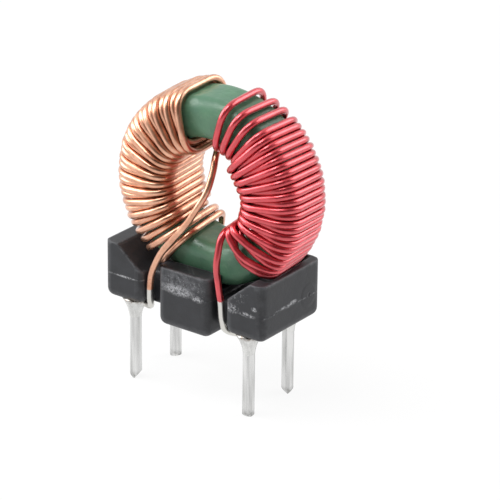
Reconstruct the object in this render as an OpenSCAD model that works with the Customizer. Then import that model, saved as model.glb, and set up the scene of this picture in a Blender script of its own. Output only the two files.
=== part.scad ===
// Toroidal inductor: a coated ring core stands on edge in a moulded base with four pins.
// It carries two windings of enamelled wire. Millimetres, +Z up, origin on the board seat,
// midway between the pins, with the windings' axis along Y and the front towards -Y.

/* [Core] */
// Outer diameter of the coated ring
core_od = 13.9; // [13:0.1:14.5]
// Diameter of the coated ring's bore
core_bore = 7.8; // [7.2:0.1:8.4]
// Length of the ring along its axis
core_h = 4.1; // [3.5:0.1:4.3]
// Radius of the coating on the ring's edges
core_edge = 1; // [0.8:0.05:1.1]
// Height of the ring's lowest point above the board
core_seat = 3.25; // [3:0.05:3.6]
// How far the ring sits to the right of the base's middle
ring_shift = 0.75; // [0:0.05:1]
// Turn of the ring about the vertical, in degrees
ring_turn = 2.8; // [0:0.1:4]
// Lean of the ring about the base's long axis, in degrees
ring_lean = 2.4; // [0:0.1:3]

/* [Windings] */
// Diameter of the enamelled wire
wire_d = 0.44; // [0.35:0.01:0.48]
// Gap between neighbouring turns of the left winding, at the outside of the ring
left_gap = 0.14; // [0.11:0.01:0.3]
// Gap between neighbouring turns of the right winding
right_gap = 0.09; // [0.08:0.01:0.3]
// How far the turns bow off the outside of the ring
wire_bow = 0.1; // [0.08:0.01:0.2]
// How far the turns bow off the ring's faces
face_bow = 0.08; // [0.07:0.01:0.2]
// Angle of the first turn of the left winding, counted from the right-hand side
left_from = 101.5; // [98:0.5:106]
// Angle of the last turn of the left winding
left_to = 241; // [225:0.5:241.5]
// Angle of the first turn of the right winding
right_from = 74.2; // [68:0.1:78]
// Angle of the last turn of the right winding
right_to = -45.5; // [-48:0.5:-30]
// Extra angle after the right winding's first turn, where the ring lies bare
first_gap = 4.3; // [3.3:0.1:8]
// Extra angle after its second and third turns
spread = 3.3; // [3.3:0.1:5]
// Extra angle before the left winding's last turn but one
last_gap = 6; // [0:0.5:8]

/* [Base] */
// Distance between the left and right pins
pin_pitch = 10; // [9.6:0.1:10.6]
// Distance between the front and back pins
row_pitch = 4.6; // [4.4:0.1:5.4]
// Base beyond the pins at each end
end_margin = 1.95; // [1.6:0.05:2.4]
// Base beyond the pins at the front and back
row_margin = 1.1; // [1:0.02:1.5]
// Height of the end blocks' top above the board
block_top = 5.2; // [4.8:0.1:5.6]
// Height of the end blocks' underside above the board
standoff = 0.94; // [0.6:0.02:1.2]
// Width of the foot in the middle of the base
foot_w = 4.48; // [4:0.02:4.8]
// Height of the foot's cheeks above the board
foot_top = 4.48; // [4.2:0.02:4.8]
// Block on the inner side of each pin
block_inner = 1.38; // [1.2:0.02:1.6]
// Depth of the four wire slots
slot_depth = 1.2; // [1:0.05:1.3]
// Height of the slope's foot on each end block
slope_low = 3.4; // [3.1:0.05:3.8]
// Level top at the outer end of each block
slope_level = 1.2; // [0.8:0.05:1.6]
// Radius of the lower edges and of the upright ones
edge_radius = 0.6; // [0.3:0.05:0.65]

/* [Pins] */
// Diameter of a pin
pin_d = 0.86; // [0.7:0.02:0.95]
// Length of the pins below the board seat
pin_drop = 5.25; // [3:0.05:7]
// Length of pin held in the base
pin_grip = 2; // [1.5:0.1:2.2]
// Diameter of the solder fillet at a pin's root
solder_d = 1.9; // [1.6:0.05:2]
// Height of the solder fillet
solder_h = 1.45; // [1:0.05:1.8]

/* [Hidden] */

// Clearance between a wire and what it lies on, and in the bore
wire_gap = 0.05;
bore_gap = 0.08;
// Clearance between the base and what sits in it
seat_gap = 0.04;
WIRE_SIDES = 6;
BEND_STEPS = 3;
RING_SIDES = 96;
PIN_SIDES = 48;
EDGE_SIDES = 32;
// How far a cutting shape runs past what it cuts, and a joined one into its neighbour
cut = 1;
lap = 0.5;
// Distance from a corner at which a turn starts to bend
bend = 1.45;
// Largest share of a straight run that the bend at its end takes up
bend_share = 0.45;
// Second layer of turns inside the bore: how far it lies in and out from the first
layer_in = wire_d;
layer_out = 1.32 * wire_d;
// Share of the pitch by which a turn strays, and how far it stands off at random
stray = 0.06;
stand_off = 0.05;
// Share of the step to the next turn that is made at the front face, and by the end of the outside
inner_step = 0.1;
outer_step = 0.85;
// Turns before which a winding leaves a gap, each with the gap's angle, counted back from
// the winding's end where negative
LEFT_GAPS = [[-5, 1], [-4, 1], [-3, 1], [-2, last_gap], [-1, 2]];
RIGHT_GAPS = [[1, first_gap], [2, spread], [3, spread]];
// Turns that lie side by side in the bore before the second layer starts
left_flat = 1;
right_flat = 4;
// Turns at the lower end of each winding that lie less evenly, as follows
low_turns = 6;
// They run on at the bore by these angles, at its front and at its back
left_fan = [7, 4];
right_fan = [0, 0];
// Their second layer heaps up towards the bore's middle
left_heap = -0.1;
right_heap = 0.3;
// They sag on the front face by an angle, deepest this far in from the face's middle
left_sag = 0;
right_sag = 18;
sag_inset = 0.3;
// Angle by which the right winding's first turn runs back over the outside
first_slant = 2;
LEFT_SEED = 11;
RIGHT_SEED = 503;

wire_r = wire_d / 2;
core_r = core_od / 2;
bore_r = core_bore / 2;
ring_z = core_seat + core_r;
outer_run = core_r + wire_r + wire_bow;
inner_run = bore_r - wire_r - bore_gap;
face_run = core_h / 2 + wire_r + wire_gap + face_bow;
winding_r = outer_run + wire_r + stand_off;
winding_h = face_run + wire_r + stand_off;

pin_x = pin_pitch / 2;
pin_y = row_pitch / 2;
pin_r = pin_d / 2;
// A pin tapers from its solder upwards, where it is pressed in
pin_taper = 0.03;
root_z = standoff - solder_h;
pin_top = standoff + pin_grip;
// Each pin's nipped tip: heading of its ridge and the slopes on either side, in degrees
TIPS = [[20, 35, 50], [60, 10, 15], [-20, 25, 10], [40, 40, 40]];
// Solder: thickness at its thin end, and how sharply it flares
solder_skin = 0.02;
solder_flare = 2;
SOLDER_STEPS = 6;
base_w = pin_pitch + 2 * end_margin;
base_d = row_pitch + 2 * row_margin;
block_in_x = pin_x - block_inner;
front_y = base_d / 2;
web_y = front_y - slot_depth;
slot_x = (foot_w / 2 + block_in_x) / 2;
// Height of the wires where they hook under the blocks, and their places in the slots
hook_z = standoff - wire_r - wire_gap;
lead_inset = 0.12;
lead_y = front_y - wire_r - lead_inset;
left_slot = slot_x + 0.4;
right_slot = slot_x + 0.1;
// The wires' ends stop short of the pins, and run straight until they are out of the solder
end_gap = 0.1;

// Number from 0 to 1 that looks random and is the same each time
function stray_at(n) = let (v = sin(n * 12.9898) * 43758.5453) v - floor(v);

function polar(r, y, a) = [r * cos(a), y, r * sin(a)];

// Point of the ring's own frame, turned and leant and set on the base
function on_ring(p) =
    let (y = p.y * cos(ring_lean) - p.z * sin(ring_lean),
         z = p.y * sin(ring_lean) + p.z * cos(ring_lean))
    [ring_shift + p.x * cos(ring_turn) - y * sin(ring_turn),
     p.x * sin(ring_turn) + y * cos(ring_turn),
     ring_z + z];

function sum(list) = len(list) == 0 ? 0 : list * [for (v = list) 1];

// Angle that the gaps have added by turn i
function gaps_by(gaps, i, turns) =
    sum([for (g = gaps) if (i >= (g[0] < 0 ? turns + 1 + g[0] : g[0])) g[1]]);

// Corners of all turns: through the bore, out along one face, over the outside and back along
// the other. way is 1 for turns that go on anticlockwise, side is 1 where the bore is passed
// from the front to the back.
function turn_corners(from, to, gap, way, side, gaps, flat, fan, heap, sag, slant, seed) =
    let (pitch = (wire_d + gap) / outer_run * 180 / PI,
         turns = floor((abs(to - from) - sum([for (g = gaps) g[1]])) / pitch),
         slip = stray * pitch,
         step = way * pitch)
    [for (i = [0:turns])
        let (at = from + way * (i * pitch + gaps_by(gaps, i, turns)),
             layer = max(0, i - flat + 1) % 2,
             low = way * pow(max(0, i - turns + low_turns) / low_turns, 2),
             r_in = inner_run - (layer_in + heap * abs(low)) * layer,
             y_in = face_run + layer_out * layer,
             k = seed + 7 * i,
             r_out = outer_run + stand_off * stray_at(k + 2))
        each concat(
            [on_ring(polar(r_in, -side * y_in,
                at + low * fan[side > 0 ? 0 : 1] + slip * (stray_at(k) - 0.5))),
             on_ring(polar(r_in, side * y_in,
                at + low * fan[side > 0 ? 1 : 0] + inner_step * step + slip * (stray_at(k + 1) - 0.5)))],
            i == turns || low * sag == 0 ? [] :
            [on_ring(polar((r_in + outer_run) / 2 - sag_inset, side * y_in, at + low * sag))],
            i == turns ? [] :
            [on_ring(polar(r_out, side * (face_run + stand_off * stray_at(k + 3)),
                at + inner_step * step + slip * (stray_at(k + 4) - 0.5))),
             on_ring(polar(r_out, -side * (face_run + stand_off * stray_at(k + 5)),
                at + outer_step * step + slip * (stray_at(k + 6) - 0.5)
                - (i == 0 ? way * slant : 0)))])];

function unit(v) = v / norm(v);

// Points of a bend at corner v, between its neighbours u and w
function bend_at(u, v, w) =
    let (cut = min(bend, bend_share * norm(u - v), bend_share * norm(w - v)),
         a = v + cut * unit(u - v),
         b = v + cut * unit(w - v))
    [for (k = [0:BEND_STEPS])
        let (t = k / BEND_STEPS) (1 - t) * (1 - t) * a + 2 * t * (1 - t) * v + t * t * b];

// Whole run of a wire: one lead, the turns with their corners bent, the other lead
function wire_run(lead_in, corners, lead_out) =
    let (all = concat(lead_in, corners, lead_out),
         first = len(lead_in),
         last = first + len(corners) - 1)
    [for (i = [0:len(all) - 1])
        each i < first || i > last ? [all[i]] : bend_at(all[i - 1], all[i], all[i + 1])];

function without_first(list) = [for (i = [1:len(list) - 1]) list[i]];

// Leads, from the pin upwards, as points chosen along the real route.
// The part of a route that hangs on the ring is given from the ring's middle.
function hook(side_x, side_y, slot) =
    [[side_x * (pin_x - pin_r - end_gap), side_y * pin_y, hook_z],
     [side_x * (pin_x - solder_d / 2 - end_gap), side_y * pin_y, hook_z],
     [side_x * (slot + 0.35), side_y * (pin_y + 0.1), hook_z],
     [side_x * (slot + 0.06), side_y * (pin_y + 0.3), hook_z + 0.25],
     [side_x * slot, side_y * (pin_y + 0.5), standoff + 0.7]];

function from_ring(list) = [for (p = list) [ring_shift + p.x, p.y, ring_z + p.z]];

LEFT_FRONT_LEAD = concat(
    hook(-1, -1, left_slot),
    from_ring([[-3.85, -3, -7.3], [-3.7, -3.1, -6.75], [-3.35, -3.25, -6], [-2.6, -3.4, -4.7],
        [-1.45, -3.4, -3.25], [-0.55, -3.25, -1.95], [-0.05, -3, -0.9], [0.35, -2.6, 0.1],
        [0.5, -2.35, 0.6], [0.6, -2.1, 1.1], [0.5, -1.6, 1.85], [0.35, -1.35, 2.35],
        [0.1, -0.8, 2.85], [-0.3, 0.4, 3.15]]));
LEFT_BACK_LEAD = concat(
    from_ring([[-1.6, 2.6, -3.8], [-2.2, 2.85, -4.6], [-3.3, 3, -5.4]]),
    [[-slot_x, lead_y, slope_low]],
    reverse(hook(-1, 1, slot_x)));
RIGHT_BACK_LEAD = concat(
    hook(1, 1, slot_x),
    [[slot_x - 0.3, lead_y, slope_low + 0.4]],
    from_ring([[1.4, 3.2, -4], [1, 3.25, -1], [0.6, 3.15, 1.5], [0.65, 2.9, 2.7]]));
RIGHT_FRONT_LEAD = concat(
    from_ring([[2.35, -3.2, -2.55], [2.25, -3.25, -3.2], [2.15, -3.3, -3.8], [2.1, -3.25, -4.4],
        [2.1, -3.2, -4.95], [2.15, -3.1, -5.8], [2.2, -3, -6.6], [2.25, -2.9, -7.4]]),
    reverse(hook(1, -1, right_slot)));

function reverse(list) = [for (i = [len(list) - 1:-1:0]) list[i]];

LEFT_RUN = wire_run(LEFT_FRONT_LEAD,
    without_first(turn_corners(left_from, left_to, left_gap, 1, 1, LEFT_GAPS, left_flat, left_fan,
        left_heap, left_sag, 0, LEFT_SEED)),
    LEFT_BACK_LEAD);
RIGHT_RUN = wire_run(RIGHT_BACK_LEAD,
    turn_corners(right_from, right_to, right_gap, -1, -1, RIGHT_GAPS, right_flat, right_fan,
        right_heap, right_sag, first_slant, RIGHT_SEED),
    RIGHT_FRONT_LEAD);

// Direction of a path at each of its points
function tangents(path) =
    [for (i = [0:len(path) - 1])
        unit(path[min(i + 1, len(path) - 1)] - path[max(i - 1, 0)])];

function across(n, t) = unit(n - (n * t) * t);

module wire(path) {
    t = tangents(path);
    count = len(path);
    n = [for (i = 0, v = across([0.3, 0.5, 0.8], t[0]); i < count;
        i = i + 1, v = i < count ? across(v, t[i]) : v) v];
    points = [for (i = [0:count - 1]) for (k = [0:WIRE_SIDES - 1])
        let (a = k * 360 / WIRE_SIDES)
        path[i] + wire_r * (cos(a) * n[i] + sin(a) * cross(t[i], n[i]))];
    sides = [for (i = [0:count - 2]) for (k = [0:WIRE_SIDES - 1])
        let (a = i * WIRE_SIDES + k, b = i * WIRE_SIDES + (k + 1) % WIRE_SIDES)
        each [[a, b + WIRE_SIDES, b], [a, a + WIRE_SIDES, b + WIRE_SIDES]]];
    start = [[for (k = [0:WIRE_SIDES - 1]) k]];
    end = [[for (k = [WIRE_SIDES - 1:-1:0]) (count - 1) * WIRE_SIDES + k]];
    polyhedron(points, concat(start, sides, end), convexity = 10);
}

module set_ring() {
    translate([ring_shift, 0, ring_z])
        rotate([ring_lean, 0, ring_turn])
            rotate([90, 0, 0])
                children();
}

// Rectangle from corner a to corner b whose corners are round
module round_rect(a, b, r) {
    for (x = [a.x + r, b.x - r], y = [a.y + r, b.y - r])
        translate([x, y]) circle(r, $fn = EDGE_SIDES);
    translate([a.x + r, a.y]) square([b.x - a.x - 2 * r, b.y - a.y]);
    translate([a.x, a.y + r]) square([b.x - a.x, b.y - a.y - 2 * r]);
}

// Moulded block between two X and two Z, as deep as the base, with balls at its lower corners
module block(x0, x1, z0, z1) {
    low = z0 + edge_radius;
    x_in = [x0 + edge_radius, x1 - edge_radius];
    y_in = front_y - edge_radius;
    translate([0, 0, low])
        linear_extrude(z1 - low) round_rect([x0, -front_y], [x1, front_y], edge_radius);
    translate([x_in[0], -y_in, z0])
        cube([x_in[1] - x_in[0], 2 * y_in, z1 - z0]);
    for (x = x_in, y = [-y_in, y_in])
        translate([x, y, low])
            rotate_extrude($fn = EDGE_SIDES) quarter_round();
    for (y = [-y_in, y_in])
        translate([x_in[0], y, low])
            rotate([0, 90, 0]) cylinder(r = edge_radius, h = x_in[1] - x_in[0], $fn = EDGE_SIDES);
    for (x = x_in)
        translate([x, y_in, low])
            rotate([90, 0, 0]) cylinder(r = edge_radius, h = 2 * y_in, $fn = EDGE_SIDES);
}

// Quarter of a disc, below the X axis
module quarter_round() {
    intersection() {
        circle(edge_radius, $fn = EDGE_SIDES);
        translate([0, -edge_radius]) square(edge_radius);
    }
}

// End block, with its top sloped down towards the foot
module end_block(side) {
    slope_x = base_w / 2 - slope_level;
    slope = (block_top - slope_low) / (slope_x - block_in_x);
    difference() {
        block(side > 0 ? block_in_x : -base_w / 2, side > 0 ? base_w / 2 : -block_in_x,
            standoff, block_top);
        translate([0, front_y + cut, 0])
            rotate([90, 0, 0])
                linear_extrude(base_d + 2 * cut)
                    polygon([[side * slope_x, block_top], [side * slope_x, block_top + cut],
                        [side * (block_in_x - cut), block_top + cut],
                        [side * (block_in_x - cut), slope_low - cut * slope],
                        [side * block_in_x, slope_low]]);
    }
}

module base() {
    winding_room = winding_r + seat_gap;
    core_room = core_r + seat_gap;
    color("#3a3a3d")
    difference() {
        union() {
            difference() {
                union() {
                    end_block(-1);
                    end_block(1);
                    translate([-block_in_x - lap, -web_y, standoff])
                        cube([2 * (block_in_x + lap), 2 * web_y, slope_low - standoff]);
                }
                set_ring() cylinder(r = winding_room, h = 2 * (winding_h + seat_gap), center = true,
                    $fn = RING_SIDES);
            }
            difference() {
                block(-foot_w / 2, foot_w / 2, 0, foot_top);
                set_ring() cylinder(r = core_room, h = core_h + 2 * seat_gap, center = true,
                    $fn = RING_SIDES);
            }
        }
        for (x = [-pin_x, pin_x], y = [-pin_y, pin_y])
            translate([x, y, standoff - cut])
                cylinder(r1 = pin_r_at(standoff - cut), r2 = pin_r_at(pin_top), h = pin_grip + cut,
                    $fn = PIN_SIDES);
    }
}

module core() {
    color("#3f7050")
    set_ring()
        rotate_extrude($fn = RING_SIDES)
            round_rect([bore_r, -core_h / 2], [core_r, core_h / 2], core_edge);
}

module copper_winding() {
    color("#d9986f") wire(LEFT_RUN);
}

module red_winding() {
    color("#c83c46") wire(RIGHT_RUN);
}

// Radius of a pin at height z of its held end
function pin_r_at(z) = pin_r - pin_taper * (z - root_z) / (pin_top - root_z);

// Pin with its tip nipped to a wedge
module pin(side_x, side_y, tip) {
    color("#c9cbcc")
    translate([side_x * pin_x, side_y * pin_y, 0])
        difference() {
            rotate_extrude($fn = PIN_SIDES)
                polygon([[0, -pin_drop], [pin_r, -pin_drop], [pin_r, root_z],
                    [pin_r_at(pin_top), pin_top], [0, pin_top]]);
            translate([0, 0, -pin_drop]) rotate([0, 0, tip[0]]) {
                rotate([0, tip[1], 0])
                    translate([-2 * pin_d, -pin_d, -pin_d]) cube([2 * pin_d, 2 * pin_d, pin_d]);
                rotate([0, -tip[2], 0])
                    translate([0, -pin_d, -pin_d]) cube([2 * pin_d, 2 * pin_d, pin_d]);
            }
        }
}

// Solder fillet round a pin's root, with the wire's end held in it
module solder(side_x, side_y) {
    thin = pin_r + solder_skin;
    color("#d4d6d6")
    translate([side_x * pin_x, side_y * pin_y, standoff])
        difference() {
            rotate_extrude($fn = PIN_SIDES)
                polygon(concat([[pin_r, -solder_h], [pin_r_at(standoff), 0]],
                    [for (i = [0:SOLDER_STEPS]) let (t = i / SOLDER_STEPS)
                        [thin + (solder_d / 2 - thin) * pow(1 - t, solder_flare), -solder_h * t]]));
            translate([0, 0, hook_z - standoff])
                rotate([0, -side_x * 90, 0])
                    cylinder(r = wire_r, h = solder_d, $fn = EDGE_SIDES);
        }
}

base();
core();
copper_winding();
red_winding();
pin(-1, -1, TIPS[0]);  // pin_front_left
pin(1, -1, TIPS[1]);  // pin_front_right
pin(-1, 1, TIPS[2]);  // pin_back_left
pin(1, 1, TIPS[3]);  // pin_back_right
solder(-1, -1);  // solder_front_left
solder(1, -1);  // solder_front_right
solder(-1, 1);  // solder_back_left
solder(1, 1);  // solder_back_right
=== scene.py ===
import bpy
import math
import numpy as np
from mathutils import Matrix, Vector, noise


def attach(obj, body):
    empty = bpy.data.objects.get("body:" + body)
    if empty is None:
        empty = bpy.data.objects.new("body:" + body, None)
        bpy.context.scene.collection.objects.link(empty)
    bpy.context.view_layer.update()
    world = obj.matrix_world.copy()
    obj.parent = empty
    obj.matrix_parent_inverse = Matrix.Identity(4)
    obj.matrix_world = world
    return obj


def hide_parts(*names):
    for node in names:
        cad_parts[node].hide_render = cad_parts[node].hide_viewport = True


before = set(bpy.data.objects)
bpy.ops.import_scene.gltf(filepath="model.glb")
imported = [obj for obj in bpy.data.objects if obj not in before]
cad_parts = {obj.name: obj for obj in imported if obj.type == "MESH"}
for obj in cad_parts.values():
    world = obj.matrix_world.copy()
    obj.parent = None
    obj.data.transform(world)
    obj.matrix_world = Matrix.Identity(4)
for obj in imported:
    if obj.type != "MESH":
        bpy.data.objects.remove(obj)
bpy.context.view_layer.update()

MM = 0.001

# Driving sizes in millimetres, the same as in the part's source
CORE_OD, CORE_BORE, CORE_H, CORE_SEAT = 13.9, 7.8, 4.1, 3.25
RING_SHIFT = 0.75
RING_TURN, RING_LEAN = math.radians(2.8), math.radians(2.4)
WIRE_D, WIRE_BOW, FACE_BOW = 0.44, 0.1, 0.08
FIRST_GAP, SPREAD, LAST_GAP = 4.3, 3.3, 6
PIN_PITCH, ROW_PITCH, END_MARGIN, ROW_MARGIN = 10, 4.6, 1.95, 1.1
STANDOFF, FOOT_W, BLOCK_INNER, SLOPE_LOW = 0.94, 4.48, 1.38, 3.4
PIN_D, PIN_DROP, SOLDER_D, SOLDER_H = 0.86, 5.25, 1.9, 1.45

# Settings of the windings, the same as in the part's source
WIRE_GAP, BORE_GAP, LEAD_INSET, END_GAP = 0.05, 0.08, 0.12, 0.1
BEND, BEND_SHARE = 1.45, 0.45
LAYER_IN, LAYER_OUT = WIRE_D, 1.32 * WIRE_D
STRAY, STAND_OFF = 0.06, 0.05
INNER_STEP, OUTER_STEP = 0.1, 0.85
LOW_TURNS, SAG_INSET = 6, 0.3

# Where the wires differ from the solids: the bends of the inner layer in the bore, how much
# further in its turns may stand there, and the radius, with which the turns all but touch
WIDE_BEND, BORE_STRAY, SEEN_WIRE_R = 2.5, 0.22, 0.245
# How finely the wires are made: points of a bend, millimetres between a lead's points, sides
BEND_STEPS, LEAD_SPACING, WIRE_SIDES = 10, 0.14, 14

# Each winding, with its angles in degrees round the ring: its first and last turn, the gap
# between turns, its way round, the side from which it passes the bore, the turns with a wider
# step before them, how many turns come before every other one lies in the inner layer, and a
# seed for its strays. Its last turns fan out at the front and back, heap up in the inner layer,
# lift off the ring in the other one, are tucked in behind and sag. Its first turn slants.
LEFT_TURNS = {
    "start": 101.5, "end": 241, "gap": 0.14, "way": 1, "side": 1,
    "gaps": [(-5, 1), (-4, 1), (-3, 1), (-2, LAST_GAP), (-1, 2)],
    "flat": 1, "fan": (7, 4), "heap": -0.1, "lift": 0, "tuck": 0.5, "sag": 0, "slant": 0,
    "seed": 11}
RIGHT_TURNS = {
    "start": 74.2, "end": -45.5, "gap": 0.09, "way": -1, "side": -1,
    "gaps": [(1, FIRST_GAP), (2, SPREAD), (3, SPREAD)],
    "flat": 4, "fan": (0, 0), "heap": 0.3, "lift": 0.3, "tuck": 0, "sag": 18, "slant": 2,
    "seed": 503}

WIRE_R = WIRE_D / 2
RING_Z = CORE_SEAT + CORE_OD / 2
OUTER_RUN = CORE_OD / 2 + WIRE_R + WIRE_BOW
INNER_RUN = CORE_BORE / 2 - WIRE_R - BORE_GAP
FACE_RUN = CORE_H / 2 + WIRE_R + WIRE_GAP + FACE_BOW
PIN_X, PIN_Y, PIN_R = PIN_PITCH / 2, ROW_PITCH / 2, PIN_D / 2
FRONT_Y = PIN_Y + ROW_MARGIN
SLOT_X = (FOOT_W / 2 + PIN_X - BLOCK_INNER) / 2
LEFT_SLOT, RIGHT_SLOT = SLOT_X + 0.4, SLOT_X + 0.1
HOOK_Z = STANDOFF - WIRE_R - WIRE_GAP
LEAD_Y = FRONT_Y - WIRE_R - LEAD_INSET

# The photo's camera: its azimuth, elevation and roll in degrees, its distance and offsets in
# millimetres from the point that it was fitted to, that point's height, and its lens
CAMERA_AZIMUTH, CAMERA_ELEVATION, CAMERA_ROLL = 36.522, 23.417, -0.637
CAMERA_AIM = 1.24
CAMERA_DISTANCE, CAMERA_X, CAMERA_Y = 216.569, -2.643, -3.556
CAMERA_LENS, SENSOR = 222.03, 36
CLIP_NEAR, CLIP_FAR = 0.01, 10

# Level of the surroundings where they are bright and where they are dark, the azimuth and
# elevation of the dark part's middle, to the right of the camera, and the cosines of the angles
# from it at which the bright part ends and the dark part begins
BRIGHT, DARK = 0.9, 0.05
DARK_MIDDLE, DARK_EDGE = (58, 15), (0.1, 0.65)
# Share of that level which lights the part, where it isn't mirrored
WORLD_LIGHT = 0.7
# Area lights: distance in metres, then for each its azimuth, elevation, size and power
SOFTBOX_DISTANCE = 0.4
SOFTBOXES = {"left_softbox": (-65, 30, 0.3, 1.3), "right_softbox": (140, 30, 0.3, 0.9),
             "top_softbox": (-20, 70, 0.2, 0.9)}
# The floor: half its width, the room below the pins' tips, and how white it looks from afar
FLOOR_HALF, FLOOR_ROOM, FLOOR_WHITE = 1500, 0.01, 0.9

# The base's softened edges: voxel size and rounds of smoothing
BASE_VOXEL, BASE_ROUNDS = 0.085, 6

# Solder joints: steps along and round them, the room below the base, the thinnest layer, how
# sharply they flare, how much the rim and the reach down the pin vary, the small waves, and the
# lump over the wire's end with its place and length as shares of the joint's height
SOLDER_RINGS, SOLDER_SIDES = 26, 40
SOLDER_ROOM, SOLDER_SKIN, SOLDER_FLARE = 0.01, 0.02, 1.7
UNEVEN_RIM, UNEVEN_REACH, SOLDER_WAVE = 0.25, 0.22, 0.015
LUMP, LUMP_AT, LUMP_LENGTH = 0.16, 0.22, 0.2

# The base's marks in millimetres: the height of its parting line, scuffs as centre, radii and
# the noise above which they show, the foot's rubbed cheek, the gate mark with its pit, and flux
END_X = PIN_X + END_MARGIN
PARTING_Z = 2.82
SCUFFS = [
    ((-0.4, -FRONT_Y, 3.1), (1.7, 0.3, 0.5), 0.42),
    ((1.3, -FRONT_Y, 2.85), (0.6, 0.3, 0.3), 0.44),
    ((0.2, -FRONT_Y, 3.6), (2.4, 0.3, 0.9), 0.54),
    ((4.2, -FRONT_Y, 3.05), (0.8, 0.3, 0.45), 0.46),
    ((4.6, -FRONT_Y, 4.2), (1.2, 0.3, 0.8), 0.56),
    ((5.6, -FRONT_Y, 2.9), (0.8, 0.3, 0.2), 0.46),
    ((6.2, -FRONT_Y, 3.45), (0.3, 0.3, 0.2), 0.46),
    ((END_X, -0.7, 2.95), (0.3, 1.4, 0.14), 0.45),
    ((END_X, 0.1, 3), (0.3, 0.5, 0.2), 0.4),
    ((-5, -FRONT_Y, 2.82), (1.2, 0.3, 0.1), 0.42)]
CHEEK = ((-0.2, -FRONT_Y, 3.75), (2.5, 0.3, 1))
GATE_MARK, GATE_RADII, PIT_RADII = (END_X, 1.95, 2.9), (0.5, 0.95, 0.95), (0.2, 0.2, 0.2)
FLUX = [((-4.4, -FRONT_Y, 1.0), (1.0, 0.6, 0.4)), ((5, -FRONT_Y, 0.95), (1.1, 0.6, 0.25))]


def stray_at(n):
    """Number from 0 to 1 that looks random and is the same each time."""
    v = math.sin(math.radians(n * 12.9898)) * 43758.5453
    return v - math.floor(v)


def on_ring(r, y, degrees):
    """Point of the ring's own frame, turned and leant and set on the base."""
    a = math.radians(degrees)
    x, z = r * math.cos(a), r * math.sin(a)
    y, z = (y * math.cos(RING_LEAN) - z * math.sin(RING_LEAN),
            y * math.sin(RING_LEAN) + z * math.cos(RING_LEAN))
    return Vector((RING_SHIFT + x * math.cos(RING_TURN) - y * math.sin(RING_TURN),
                   x * math.sin(RING_TURN) + y * math.cos(RING_TURN), RING_Z + z))


def gaps_by(gaps, i, turns):
    """Angle that the gaps have added by turn i; a negative turn counts back from the end."""
    return sum(angle for turn, angle in gaps
               if i >= (turn if turn >= 0 else turns + 1 + turn))


def turn_corners(start, end, gap, way, side, gaps, flat, fan, heap, lift, tuck, sag, slant,
                 seed):
    """Corners of all turns with how far each bends: through the bore, along one face, over the
    outside, back."""
    pitch = math.degrees((WIRE_D + gap) / OUTER_RUN)
    turns = math.floor((abs(end - start) - sum(angle for _, angle in gaps)) / pitch)
    step, slip = way * pitch, STRAY * pitch
    front, back = (0, 1) if side > 0 else (1, 0)
    corners = []
    for i in range(turns + 1):
        at = start + way * (i * pitch + gaps_by(gaps, i, turns))
        layer = max(0, i - flat + 1) % 2
        low = way * (max(0, i - turns + LOW_TURNS) / LOW_TURNS) ** 2
        strayed = BORE_STRAY * (1 - abs(low)) * stray_at(seed + 3 * i)
        r_in = INNER_RUN - ((LAYER_IN + heap * abs(low) + strayed) * layer
                            + lift * abs(low) * (1 - layer))
        y_in = FACE_RUN + LAYER_OUT * layer
        y_back = y_in - tuck * abs(low) * layer
        draw = [stray_at(seed + 7 * i + j) for j in range(7)]
        bend = WIDE_BEND if layer else BEND
        corners.append((on_ring(r_in, -side * y_in,
                                at + low * fan[front] + slip * (draw[0] - 0.5)), bend))
        corners.append((on_ring(r_in, side * y_back,
                                at + low * fan[back] + INNER_STEP * step
                                + slip * (draw[1] - 0.5)), bend))
        if i == turns:
            break
        if low * sag:
            corners.append((on_ring((r_in + OUTER_RUN) / 2 - SAG_INSET, side * y_in,
                                    at + low * sag), BEND))
        r_out = OUTER_RUN + STAND_OFF * draw[2]
        corners.append((on_ring(r_out, side * (FACE_RUN + STAND_OFF * draw[3]),
                                at + INNER_STEP * step + slip * (draw[4] - 0.5)), BEND))
        corners.append((on_ring(r_out, -side * (FACE_RUN + STAND_OFF * draw[5]),
                                at + OUTER_STEP * step + slip * (draw[6] - 0.5)
                                - (way * slant if i == 0 else 0)), BEND))
    return corners


def bend_at(before, corner, after, bend):
    """Points of the bend that a wire makes at a corner."""
    cut = min([bend] + [BEND_SHARE * (p - corner).length for p in (before, after)])
    a = corner + cut * (before - corner).normalized()
    b = corner + cut * (after - corner).normalized()
    return [(1 - t) ** 2 * a + 2 * t * (1 - t) * corner + t * t * b
            for t in (k / BEND_STEPS for k in range(BEND_STEPS + 1))]


def spline(points):
    """Smooth curve through the points of a lead, from the second to the last but one."""
    curve = []
    for p, a, b, q in zip(points, points[1:], points[2:], points[3:]):
        da, dm, db = (max((v - u).length, 0.001) ** 0.5 for u, v in ((p, a), (a, b), (b, q)))
        ta = dm * ((a - p) / da - (b - p) / (da + dm)) + (b - a)
        tb = dm * ((q - b) / db - (q - a) / (db + dm)) + (b - a)
        count = max(1, round((b - a).length / LEAD_SPACING))
        for k in range(count):
            t = k / count
            curve.append((2 * t ** 3 - 3 * t ** 2 + 1) * a + (t ** 3 - 2 * t ** 2 + t) * ta
                         + (3 * t ** 2 - 2 * t ** 3) * b + (t ** 3 - t ** 2) * tb)
    return curve + [points[-2]]


def beyond(a, b):
    """Point as far past a as b is before it, which gives a curve its direction there."""
    return 2 * a - b


def wire_run(lead_in, corners, lead_out):
    """Whole run of a wire: one lead, the turns with their corners bent, the other lead."""
    points = lead_in[-1:] + [corner for corner, bend in corners] + lead_out[:1]
    turns = []
    for i, (corner, bend) in enumerate(corners):
        turns += bend_at(points[i], corner, points[i + 2], bend)
    first = spline([beyond(lead_in[0], lead_in[1])] + lead_in + turns[:2])
    last = spline(turns[-2:] + lead_out + [beyond(lead_out[-1], lead_out[-2])])
    return first[:-1] + turns + last[1:]


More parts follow.
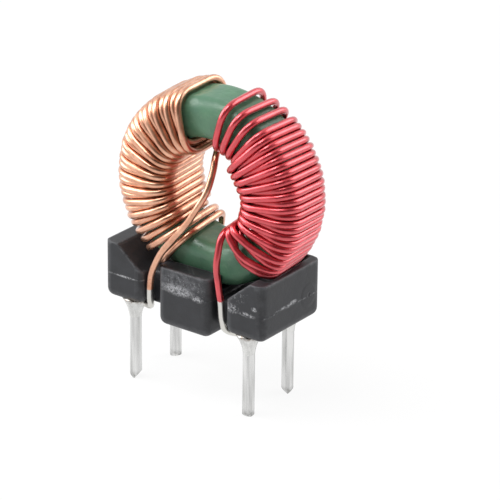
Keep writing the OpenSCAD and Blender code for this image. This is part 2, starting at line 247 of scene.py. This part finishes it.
def hook(side_x, side_y, slot):
    """End of a lead, from the pin to the slot in the base."""
    return [Vector(p) for p in (
        (side_x * (PIN_X - PIN_R - END_GAP), side_y * PIN_Y, HOOK_Z),
        (side_x * (PIN_X - SOLDER_D / 2 - END_GAP), side_y * PIN_Y, HOOK_Z),
        (side_x * (slot + 0.35), side_y * (PIN_Y + 0.1), HOOK_Z),
        (side_x * (slot + 0.06), side_y * (PIN_Y + 0.3), HOOK_Z + 0.25),
        (side_x * slot, side_y * (PIN_Y + 0.5), STANDOFF + 0.7))]


def from_ring(points):
    """Points of a lead that hangs on the ring, given from the ring's middle."""
    return [Vector((RING_SHIFT + x, y, RING_Z + z)) for x, y, z in points]


def copper_run():
    """Path of the left winding's wire, leads included."""
    front = hook(-1, -1, LEFT_SLOT) + from_ring([
        (-3.85, -3, -7.3), (-3.7, -3.1, -6.75), (-3.35, -3.25, -6), (-2.6, -3.4, -4.7),
        (-1.45, -3.4, -3.25), (-0.45, -3.25, -1.95), (0.12, -3, -0.9), (0.55, -2.6, 0.1),
        (0.66, -2.35, 0.6), (0.68, -2.1, 1.1), (0.6, -1.65, 1.85), (0.46, -1.3, 2.4),
        (0.2, -0.7, 2.85), (-0.3, 0.4, 3.15)])
    back = from_ring([(-2.2, 2.85, -4.6), (-3.3, 3, -5.4)])
    back += [Vector((-SLOT_X, LEAD_Y, SLOPE_LOW))] + hook(-1, 1, SLOT_X)[::-1]
    return wire_run(front, turn_corners(**LEFT_TURNS)[1:], back)


def red_run():
    """Path of the right winding's wire, leads included."""
    back = hook(1, 1, SLOT_X) + [Vector((SLOT_X - 0.3, LEAD_Y, SLOPE_LOW + 0.4))]
    back += from_ring([(1.4, 3.2, -4), (1, 3.25, -1), (0.6, 3.15, 1.5), (0.65, 2.9, 2.7)])
    front = from_ring([
        (2.16, -3.3, -4.2), (2.1, -3.22, -4.95), (2.15, -3.1, -5.8), (2.2, -3, -6.6),
        (2.25, -2.9, -7.4)])
    return wire_run(back, turn_corners(**RIGHT_TURNS), front + hook(1, -1, RIGHT_SLOT)[::-1])


def new_object(name, points, faces):
    """Smooth object from points in millimetres."""
    mesh = bpy.data.meshes.new(name)
    mesh.from_pydata([tuple(c * MM for c in p) for p in points], [], faces)
    mesh.polygons.foreach_set("use_smooth", [True] * len(faces))
    mesh.update()
    made = bpy.data.objects.new(name, mesh)
    bpy.context.scene.collection.objects.link(made)
    return made


def stands_for(piece, node, material):
    """The piece replaces a node, rides the part's one body and takes the given material."""
    piece.data.materials.clear()
    piece.data.materials.append(material)
    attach(piece, "root")
    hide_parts(node)


def tube(name, path):
    """Round wire along a path, closed at both ends."""
    sides = WIRE_SIDES
    path = np.array([tuple(p) for p in path])
    steps = np.linalg.norm(np.diff(path, axis=0), axis=1)
    path = path[np.r_[True, steps > 1e-4]]
    ahead = np.diff(path, axis=0)
    tangents = np.vstack([ahead[:1], ahead[1:] + ahead[:-1], ahead[-1:]])
    tangents /= np.linalg.norm(tangents, axis=1)[:, None]
    normal = np.array([0.3, 0.5, 0.8])
    points = []
    for p, t in zip(path, tangents):
        normal = normal - (normal @ t) * t
        normal /= np.linalg.norm(normal)
        other = np.cross(t, normal)
        points += [p + SEEN_WIRE_R * (math.cos(a) * normal + math.sin(a) * other)
                   for a in (2 * math.pi * k / sides for k in range(sides))]
    count = len(path)
    faces = [(i * sides + k, i * sides + (k + 1) % sides,
              (i + 1) * sides + (k + 1) % sides, (i + 1) * sides + k)
             for i in range(count - 1) for k in range(sides)]
    faces.append(tuple(range(sides))[::-1])
    faces.append(tuple(range((count - 1) * sides, count * sides)))
    return new_object(name, points, faces)


class Nodes:
    """A node tree, and short calls for the nodes that are used here."""

    def __init__(self, owner, space):
        owner.use_nodes = True
        self.tree = owner.node_tree
        self.place = self.node("TexCoord").outputs[space]

    def node(self, kind, inputs=None, **settings):
        """New shader node with its inputs plugged and its settings set."""
        made = self.tree.nodes.new("ShaderNode" + kind)
        for key, value in settings.items():
            setattr(made, key, value)
        for key, value in (inputs or {}).items():
            self.plug(made.inputs[key], value)
        return made

    def plug(self, socket, value):
        """Links a socket to another node's output, or sets it to a plain value."""
        if isinstance(value, bpy.types.NodeSocket):
            self.tree.links.new(value, socket)
        else:
            socket.default_value = value

    def noise(self, size, detail=3, rough=0.55, vector=None, distortion=0):
        """Noise from 0 to 1 whose features measure about size millimetres."""
        made = self.node("TexNoise", {"Vector": vector or self.place, "Scale": 1 / (size * MM),
                                      "Detail": detail, "Roughness": rough,
                                      "Distortion": distortion})
        return made.outputs["Fac"]

    def remap(self, value, low, high, to_low=0.0, to_high=1.0):
        """value as it runs from low to high, turned into to_low to to_high and held there."""
        made = self.node("MapRange", {"Value": value, "From Min": low, "From Max": high,
                                      "To Min": to_low, "To Max": to_high})
        return made.outputs["Result"]

    def mix(self, factor, a, b):
        """Colour a where factor is 0, and b where it is 1."""
        made = self.node("Mix", data_type="RGBA")
        self.plug(made.inputs["Factor"], factor)
        self.plug(made.inputs["A"], a)
        self.plug(made.inputs["B"], b)
        return made.outputs["Result"]

    def grey(self, value):
        """Grey colour of a level."""
        made = self.node("CombineColor")
        for socket in made.inputs:
            self.plug(socket, value)
        return made.outputs["Color"]

    def math(self, operation, a, b=0.0):
        """Result of a sum on one or two values."""
        made = self.node("Math", operation=operation)
        self.plug(made.inputs[0], a)
        self.plug(made.inputs[1], b)
        return made.outputs[0]

    def along(self, direction):
        """How far place lies in a direction."""
        made = self.node("VectorMath", operation="DOT_PRODUCT")
        self.plug(made.inputs[0], self.place)
        self.plug(made.inputs[1], direction)
        return made.outputs["Value"]


class Finish(Nodes):
    """A material whose shader takes its inputs from nodes."""

    def __init__(self, name):
        self.material = bpy.data.materials.new(name)
        super().__init__(self.material, "Object")
        self.shader = self.tree.nodes["Principled BSDF"]

    def set(self, **inputs):
        """Inputs of the shader, by their names with _ for each space."""
        for key, value in inputs.items():
            self.plug(self.shader.inputs[key.replace("_", " ")], value)

    def height(self):
        """Height above the board seat, in millimetres."""
        apart = self.node("SeparateXYZ", {"Vector": self.place})
        return self.math("DIVIDE", apart.outputs["Z"], MM)

    def within(self, centre, radii, blur=0.6):
        """1 inside an ellipsoid given in millimetres, and 0 outside it."""
        off = self.node("VectorMath", operation="SUBTRACT")
        self.plug(off.inputs[0], self.place)
        self.plug(off.inputs[1], Vector(centre) * MM)
        scaled = self.node("VectorMath", operation="DIVIDE")
        self.plug(scaled.inputs[0], off.outputs["Vector"])
        self.plug(scaled.inputs[1], Vector(radii) * MM)
        reach = self.node("VectorMath", operation="LENGTH")
        self.plug(reach.inputs[0], scaled.outputs["Vector"])
        return self.remap(reach.outputs["Value"], 1.0, 1.0 - blur)

    def bump(self, height, depth, after=None):
        """Bump whose full height is depth millimetres."""
        inputs = {"Height": height, "Distance": depth * MM, "Strength": 1.0}
        if after:
            inputs["Normal"] = after
        return self.node("Bump", inputs).outputs["Normal"]


def rgb(text):
    """Linear colour with alpha from an sRGB hex text."""
    parts = [int(text[i:i + 2], 16) / 255 for i in (0, 2, 4)]
    return tuple(c / 12.92 if c <= 0.04045 else ((c + 0.055) / 1.055) ** 2.4
                 for c in parts) + (1.0,)


def enamelled_wire(name, light, dark, stain, tinned_below, metallic):
    """Enamelled wire, tinned where it was dipped for soldering."""
    f = Finish(name)
    tone = f.noise(0.9, detail=4, rough=0.6)
    colour = f.mix(f.remap(tone, 0.35, 0.68), rgb(dark), rgb(light))
    specks = f.remap(f.noise(0.16, detail=2), 0.66, 0.72)
    colour = f.mix(f.math("MULTIPLY", specks, 0.5), colour, rgb(stain))
    ragged = f.math("ADD", f.height(), f.remap(f.noise(0.3), 0, 1, -0.12, 0.12))
    tinned = f.remap(ragged, tinned_below + 0.04, tinned_below - 0.04)
    colour = f.mix(tinned, colour, rgb("D6D4CE"))
    f.set(Base_Color=colour, Metallic=f.remap(tinned, 0, 1, metallic, 1),
          Roughness=f.remap(tone, 0.3, 0.7, 0.27, 0.37),
          Coat_Weight=0.8, Coat_Roughness=0.16, Coat_IOR=1.6,
          Normal=f.bump(f.noise(0.5, detail=2), 0.012))
    return f.material


def core_coating():
    """Green epoxy coating with a soft sheen, rubbed paler here and there."""
    f = Finish("green_coating")
    cloud = f.noise(2.2, detail=5, rough=0.6)
    colour = f.mix(f.remap(cloud, 0.3, 0.7), rgb("48705A"), rgb("5A8566"))
    rubbed = f.math("MULTIPLY", f.remap(f.noise(0.5, detail=6, rough=0.7), 0.58, 0.75), 0.35)
    colour = f.mix(rubbed, colour, rgb("93AA92"))
    waves = f.bump(f.noise(1.6, detail=2, distortion=0.6), 0.07)
    skin = f.bump(f.noise(0.45, detail=2), 0.02, after=waves)
    f.set(Base_Color=colour, Roughness=f.remap(cloud, 0.3, 0.7, 0.26, 0.4),
          Normal=f.bump(f.noise(0.09, detail=2), 0.004, after=skin))
    return f.material


def moulded_plastic():
    """Black moulded plastic, scuffed along its parting line, with a gate mark and some flux."""
    f = Finish("moulded_plastic")
    cloud = f.noise(1.6, detail=5, rough=0.65)
    colour = f.mix(f.remap(cloud, 0.3, 0.7), rgb("212225"), rgb("2E2F33"))
    height = f.height()
    off_line = f.math("ABSOLUTE", f.math("SUBTRACT", height, PARTING_Z))
    coarse = f.noise(0.5, detail=8, rough=0.75)
    fine = f.noise(0.16, detail=6, rough=0.8)
    worn = f.math("MULTIPLY", f.remap(off_line, 0.09, 0.02),
                  f.remap(coarse, 0.5, 0.62, 0, 0.35))
    for centre, radii, least in SCUFFS:
        patch = f.math("MULTIPLY", f.within(centre, radii), f.remap(fine, least, least + 0.14))
        worn = f.math("MAXIMUM", worn, patch)
    # Convex edges made lighter (77787C): partly edge wear, partly a painted highlight where the
    # rounded edges catch the light
    rubbed = f.remap(f.node("NewGeometry").outputs["Pointiness"], 0.502, 0.525)
    rubbed = f.math("MULTIPLY", rubbed, f.remap(coarse, 0.35, 0.65))
    colour = f.mix(f.math("MULTIPLY", rubbed, 0.45), colour, rgb("77787C"))
    colour = f.mix(f.math("MULTIPLY", worn, 0.8), colour, rgb("BCBDC0"))
    cheek = f.math("MULTIPLY", f.within(*CHEEK),
                   f.remap(f.noise(0.35, detail=7, rough=0.7), 0.38, 0.62))
    colour = f.mix(f.math("MULTIPLY", cheek, 0.5), colour, rgb("6E6F74"))
    for centre, radii in FLUX:
        colour = f.mix(f.math("MULTIPLY", f.within(centre, radii), 0.7), colour, rgb("4A3B22"))
    ridge = f.bump(f.remap(off_line, 0.09, 0.0), 0.016)
    gate = f.bump(f.within(GATE_MARK, GATE_RADII, 0.25), 0.03, after=ridge)
    pit = f.bump(f.within(GATE_MARK, PIT_RADII, 0.5), -0.06, after=gate)
    dents = f.bump(f.noise(0.9, detail=4), 0.03, after=pit)
    f.set(Base_Color=colour, Roughness=f.remap(cloud, 0.3, 0.7, 0.42, 0.56),
          Specular_IOR_Level=0.45,
          Normal=f.bump(f.noise(0.07, detail=3, rough=0.6), 0.006, after=dents))
    return f.material


def tinned_metal(name, light, dark, drawn, relief, stain, stained_from, stained_to):
    """Bright tin or solder, drawn out along the pins by as many times as drawn says, and stained
    more and more from one height to another."""
    f = Finish(name)
    mapping = f.node("Mapping", {"Vector": f.place, "Scale": (1, 1, 1 / drawn)})
    streaks = mapping.outputs["Vector"]
    cloud = f.noise(0.32, detail=3, vector=streaks)
    colour = f.mix(f.remap(cloud, 0.35, 0.65), rgb(dark), rgb(light))
    stained = f.math("MULTIPLY", f.remap(f.height(), stained_from, stained_to),
                     f.remap(f.noise(0.22, detail=4), 0.35, 0.6))
    colour = f.mix(f.math("MULTIPLY", stained, 0.75), colour, rgb(stain))
    f.set(Base_Color=colour, Metallic=1.0, Roughness=f.remap(cloud, 0.3, 0.7, 0.2, 0.32),
          Normal=f.bump(f.noise(0.35, detail=2, vector=streaks), relief))
    return f.material


def finish_node(node, material):
    """Gives a node that stays as it is its material."""
    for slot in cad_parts[node].material_slots:
        slot.material = material


def softened_base(material):
    """The moulded base with its edges rounded as a mould leaves them."""
    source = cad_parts["base"]
    made = source.copy()
    made.data = source.data.copy()
    made.name = made.data.name = "moulded_base"
    made.parent = None
    bpy.context.scene.collection.objects.link(made)
    made.data.transform(Matrix.Scale(1 / MM, 4))
    remesh = made.modifiers.new("skin", "REMESH")
    remesh.mode = "VOXEL"
    remesh.voxel_size = BASE_VOXEL
    smooth = made.modifiers.new("rounding", "SMOOTH")
    smooth.factor, smooth.iterations = 0.5, BASE_ROUNDS
    shape = bpy.data.meshes.new_from_object(
        made.evaluated_get(bpy.context.evaluated_depsgraph_get()))
    made.modifiers.clear()
    made.data = shape
    shape.name = "moulded_base"
    shape.transform(Matrix.Scale(MM, 4))
    shape.polygons.foreach_set("use_smooth", [True] * len(shape.polygons))
    made.matrix_world = Matrix.Identity(4)
    stands_for(made, "base", material)


def solder_joint(node, side_x, side_y, seed, material):
    """Solder that has drawn up round a pin's root and over the wire's end."""
    rings, sides = SOLDER_RINGS, SOLDER_SIDES
    thin = PIN_R + SOLDER_SKIN
    points = []
    for j in range(rings + 1):
        t = j / rings
        for k in range(sides):
            a = 2 * math.pi * k / sides
            out = Vector((math.cos(a), math.sin(a), 0))
            towards_wire = max(0, -side_x * out.x) ** 6
            uneven = noise.noise(Vector((out.x * 1.3, out.y * 1.3, seed)))
            reach = SOLDER_H * (1 + UNEVEN_REACH * noise.noise(Vector((out.x, out.y, seed + 5))))
            flare = (SOLDER_D / 2 - thin) * (1 - UNEVEN_RIM * abs(uneven))
            flare *= (1 - t) ** SOLDER_FLARE
            lump = LUMP * towards_wire * math.exp(-((t - LUMP_AT) / LUMP_LENGTH) ** 2)
            wave = SOLDER_WAVE * noise.noise(Vector((out.x * 3, out.y * 3, t * 4 + seed)))
            r = max(thin, thin + flare + lump + wave) if j < rings else PIN_R - SOLDER_SKIN
            points.append((side_x * PIN_X + r * out.x, side_y * PIN_Y + r * out.y,
                           STANDOFF - SOLDER_ROOM - reach * t))
    faces = [(j * sides + k, (j + 1) * sides + k, (j + 1) * sides + (k + 1) % sides,
              j * sides + (k + 1) % sides) for j in range(rings) for k in range(sides)]
    faces.append(tuple(range(sides)))
    faces.append(tuple(range(rings * sides, (rings + 1) * sides))[::-1])
    made = new_object(node + "_joint", points, faces)
    stands_for(made, node, material)


def towards(azimuth, elevation):
    """Direction from the part, with the azimuth in degrees from the front to the right."""
    a, e = math.radians(azimuth), math.radians(elevation)
    return Vector((math.sin(a) * math.cos(e), -math.cos(a) * math.cos(e), math.sin(e)))


def camera():
    """The photo's camera."""
    back = towards(CAMERA_AZIMUTH, CAMERA_ELEVATION)
    right = towards(CAMERA_AZIMUTH + 90, 0)
    r = math.radians(CAMERA_ROLL)
    up = back.cross(right)
    seen_right = right * math.cos(r) - up * math.sin(r)
    seen_up = right * math.sin(r) + up * math.cos(r)
    place = CAMERA_DISTANCE * back - CAMERA_X * right - CAMERA_Y * up + Vector((0, 0, CAMERA_AIM))
    data = bpy.data.cameras.new("camera")
    data.lens, data.sensor_width = CAMERA_LENS, SENSOR
    data.clip_start, data.clip_end = CLIP_NEAR, CLIP_FAR
    made = bpy.data.objects.new("camera", data)
    bpy.context.scene.collection.objects.link(made)
    axes = Matrix((seen_right, seen_up, back)).transposed().to_4x4()
    made.matrix_world = Matrix.Translation(place * MM) @ axes
    bpy.context.scene.camera = made


def shown_white(f, plain, share):
    """Surface that camera and reflections see as near white, and that still takes shadow."""
    path = f.node("LightPath")
    seen = f.math("MAXIMUM", path.outputs["Is Camera Ray"], path.outputs["Is Glossy Ray"])
    seen = f.math("MAXIMUM", seen, path.outputs["Is Transmission Ray"])
    white = f.node("Emission", {"Color": (1, 1, 1, 1), "Strength": 1.0})
    blend = f.node("MixShader", {"Fac": f.math("MULTIPLY", seen, share)})
    f.tree.links.new(plain, blend.inputs[1])
    f.tree.links.new(white.outputs[0], blend.inputs[2])
    f.tree.links.new(blend.outputs[0], f.tree.nodes["Material Output"].inputs["Surface"])


def floor():
    """Plain pale floor at the pins' tips."""
    half, level = FLOOR_HALF, -PIN_DROP - FLOOR_ROOM
    made = new_object("floor", [(-half, -half, level), (half, -half, level),
                                (half, half, level), (-half, half, level)], [(0, 1, 2, 3)])
    f = Finish("pale_floor")
    grain = f.noise(6, detail=2)
    f.set(Base_Color=f.mix(grain, (0.86, 0.86, 0.86, 1), (0.9, 0.9, 0.9, 1)), Roughness=0.9)
    shown_white(f, f.shader.outputs[0], FLOOR_WHITE)
    made.data.materials.append(f.material)


def softbox(name, azimuth, elevation, size, power):
    """Square area light that looks at the middle of the ring."""
    data = bpy.data.lights.new(name, "AREA")
    data.size, data.energy = size, power
    made = bpy.data.objects.new(name, data)
    bpy.context.scene.collection.objects.link(made)
    facing = towards(azimuth, elevation)
    made.location = Vector((0, 0, RING_Z * MM)) + SOFTBOX_DISTANCE * facing
    made.rotation_euler = facing.to_track_quat("Z", "Y").to_euler()


def studio():
    """Soft light from all round, but dark to the right of the camera, on a white background."""
    world = bpy.data.worlds.new("studio")
    bpy.context.scene.world = world
    n = Nodes(world, "Generated")
    level = n.remap(n.along(towards(*DARK_MIDDLE)), *DARK_EDGE, BRIGHT, DARK)
    path = n.node("LightPath")
    mirrored = n.math("MAXIMUM", path.outputs["Is Glossy Ray"],
                      path.outputs["Is Transmission Ray"])
    level = n.math("MULTIPLY", level, n.remap(mirrored, 0, 1, WORLD_LIGHT, 1))
    shade = n.mix(path.outputs["Is Camera Ray"], n.grey(level), (1, 1, 1, 1))
    n.plug(n.tree.nodes["Background"].inputs["Color"], shade)
    for name, settings in SOFTBOXES.items():
        softbox(name, *settings)


copper = enamelled_wire("copper_enamel", light="F0B897", dark="CF9070", stain="A05A3C",
                        tinned_below=2.25, metallic=0.9)
red = enamelled_wire("red_enamel", light="E04A54", dark="C83A43", stain="8C1F28",
                     tinned_below=3.1, metallic=0.7)
tin = tinned_metal("tin_plating", light="E6E6E5", dark="BEBEBD", drawn=14, relief=0.006,
                   stain="6E6D6A", stained_from=0.6 - PIN_DROP, stained_to=0.1 - PIN_DROP)
solder = tinned_metal("bright_solder", light="E4E4E2", dark="C8C8C6", drawn=3, relief=0.0025,
                      stain="5E452C", stained_from=STANDOFF - 0.3, stained_to=STANDOFF - 0.06)

stands_for(tube("copper_wire", copper_run()), "copper_winding", copper)
stands_for(tube("red_wire", red_run()), "red_winding", red)
finish_node("core", core_coating())
softened_base(moulded_plastic())
for row, side_y in (("front", -1), ("back", 1)):
    for column, side_x in (("left", -1), ("right", 1)):
        finish_node("pin_%s_%s" % (row, column), tin)
        solder_joint("solder_%s_%s" % (row, column), side_x, side_y, 3 * side_y + side_x, solder)

camera()
floor()
studio()
bpy.context.scene.view_settings.view_transform = "Standard"
